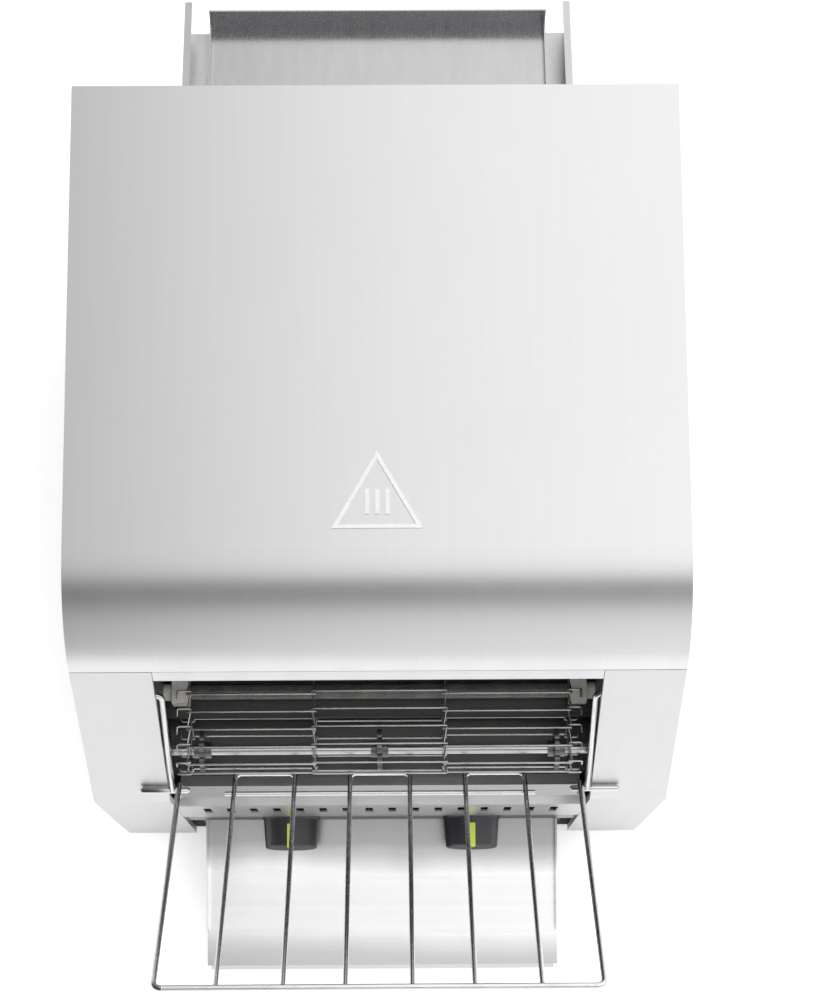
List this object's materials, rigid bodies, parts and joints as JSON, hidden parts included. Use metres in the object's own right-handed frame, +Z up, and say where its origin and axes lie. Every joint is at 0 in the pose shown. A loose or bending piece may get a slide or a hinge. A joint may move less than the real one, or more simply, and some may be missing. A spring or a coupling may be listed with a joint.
{
  "type": "conveyor toaster",
  "caption": "Countertop conveyor toaster: mesh belt between quartz heaters, folding wire feed rack, two knobs, front discharge tray and rear chute.",
  "frame": {"origin": "on the table under the centre of the whole outline, feed rack and rear chute included", "axes": "+X to the right seen from the front, +Y to the rear, +Z up"},
  "size_m": [0.368, 0.7034, 0.3878],
  "materials": {
    "hood_steel": "fine brushed stainless sheet",
    "panel_steel": "satin stainless sheet",
    "back_steel": "satin stainless sheet",
    "base_steel": "plain galvanised sheet",
    "chamber_steel": "heat-darkened aluminised steel",
    "fascia_steel": "satin stainless sheet",
    "control_steel": "satin stainless sheet",
    "tray_steel": "polished stainless sheet",
    "slide_steel": "stainless sheet",
    "rear_tray_steel": "polished stainless sheet",
    "chute_steel": "satin stainless sheet",
    "crumb_steel": "stainless sheet",
    "foot_rubber": "matte moulded rubber",
    "knob_plastic": "matte heat-resistant plastic",
    "pointer_green": "smooth green plastic",
    "shaft_steel": "turned bright steel",
    "control_plastic": "moulded plastic and painted metal",
    "quartz": "frosted quartz",
    "coil": "resistance wire",
    "cap_ceramic": "unglazed ceramic",
    "belt_wire": "bright stainless wire",
    "sprocket_steel": "stamped steel",
    "bush_brass": "sintered bronze",
    "rack_wire": "polished stainless wire",
    "arm_wire": "polished stainless wire",
    "fan_plastic": "moulded plastic",
    "rotor_plastic": "moulded plastic",
    "terminal_plastic": "moulded plastic",
    "gland_plastic": "moulded plastic",
    "screw_steel": "plated steel"
  },
  "bodies": {
    "body": {"hood": "hood_steel", "side_panel_left": "panel_steel", "side_panel_right": "panel_steel", "front_panel_left": "panel_steel", "front_panel_right": "panel_steel", "back_panel": "back_steel", "base_plate": "base_steel", "feet": "foot_rubber", "inner_wall_left": "chamber_steel", "inner_wall_right": "chamber_steel", "header": "fascia_steel", "front_fascia": "fascia_steel", "entry_ramp": "fascia_steel", "control_panel": "control_steel", "control_box": "chamber_steel", "selector_switch": "control_plastic", "speed_control": "control_plastic", "upper_reflector": "chamber_steel", "lower_reflector": "chamber_steel", "upper_tubes": "quartz", "lower_tubes": "quartz", "heater_coils": "coil", "ceramic_caps": "cap_ceramic", "mesh_belt": "belt_wire", "shaft_bushes": "bush_brass", "gear_motor": "control_plastic", "rack_arm_left": "arm_wire", "rack_arm_right": "arm_wire", "discharge_slide": "slide_steel", "tray_runners": "back_steel", "rear_chute": "chute_steel", "fan_frame": "fan_plastic", "terminal_block": "terminal_plastic", "cable_gland": "gland_plastic", "case_screws": "screw_steel"},
    "knob_left_body": {"knob_left": "knob_plastic", "pointer_left": "pointer_green", "spindle_left": "shaft_steel"},
    "knob_right_body": {"knob_right": "knob_plastic", "pointer_right": "pointer_green", "spindle_right": "shaft_steel"},
    "drive_body": {"drive_shaft": "shaft_steel", "rear_sprockets": "sprocket_steel", "shaft_coupling": "sprocket_steel"},
    "idler_body": {"front_shaft": "shaft_steel", "front_sprockets": "sprocket_steel"},
    "fan_body": {"fan_rotor": "rotor_plastic"},
    "rack_body": {"feed_rack": "rack_wire"},
    "front_tray_body": {"front_tray": "tray_steel"},
    "rear_tray_body": {"rear_tray": "rear_tray_steel"},
    "crumb_tray_body": {"crumb_tray": "crumb_steel"}
  },
  "joints": [
    {"name": "selector_turn", "type": "hinge", "parent": "body", "child": "knob_left_body", "pos_m": [-0.0625, -0.22282, 0.097], "axis": [0, 1, 0], "range_deg": [0, 270]},
    {"name": "speed_turn", "type": "hinge", "parent": "body", "child": "knob_right_body", "pos_m": [0.0625, -0.22282, 0.097], "axis": [0, 1, 0], "range_deg": [-135, 135]},
    {"name": "drive_spin", "type": "hinge", "parent": "body", "child": "drive_body", "pos_m": [0, 0.09438, 0.25], "axis": [-1, 0, 0], "continuous": true},
    {"name": "idler_spin", "type": "hinge", "parent": "body", "child": "idler_body", "pos_m": [0, -0.19682, 0.25], "axis": [-1, 0, 0], "continuous": true},
    {"name": "fan_spin", "type": "hinge", "parent": "body", "child": "fan_body", "pos_m": [0.158, 0.17418, 0.075], "axis": [0, 1, 0], "continuous": true},
    {"name": "rack_fold", "type": "hinge", "parent": "body", "child": "rack_body", "pos_m": [0, -0.22044, 0.235], "axis": [-1, 0, 0], "range_deg": [0, 45]},
    {"name": "front_tray_slide", "type": "slide", "parent": "body", "child": "front_tray_body", "axis": [0, -0.9903, -0.1392], "range_m": [0, 0.05]},
    {"name": "rear_tray_slide", "type": "slide", "parent": "body", "child": "rear_tray_body", "axis": [0, 0.9781, -0.2079], "range_m": [0, 0.14]},
    {"name": "crumb_tray_slide", "type": "slide", "parent": "body", "child": "crumb_tray_body", "axis": [0, -1, 0], "range_m": [0, 0.36]}
  ],
  "couplings": [
    {"joint": "idler_spin", "follows": "drive_spin", "ratio": 1}
  ]
}
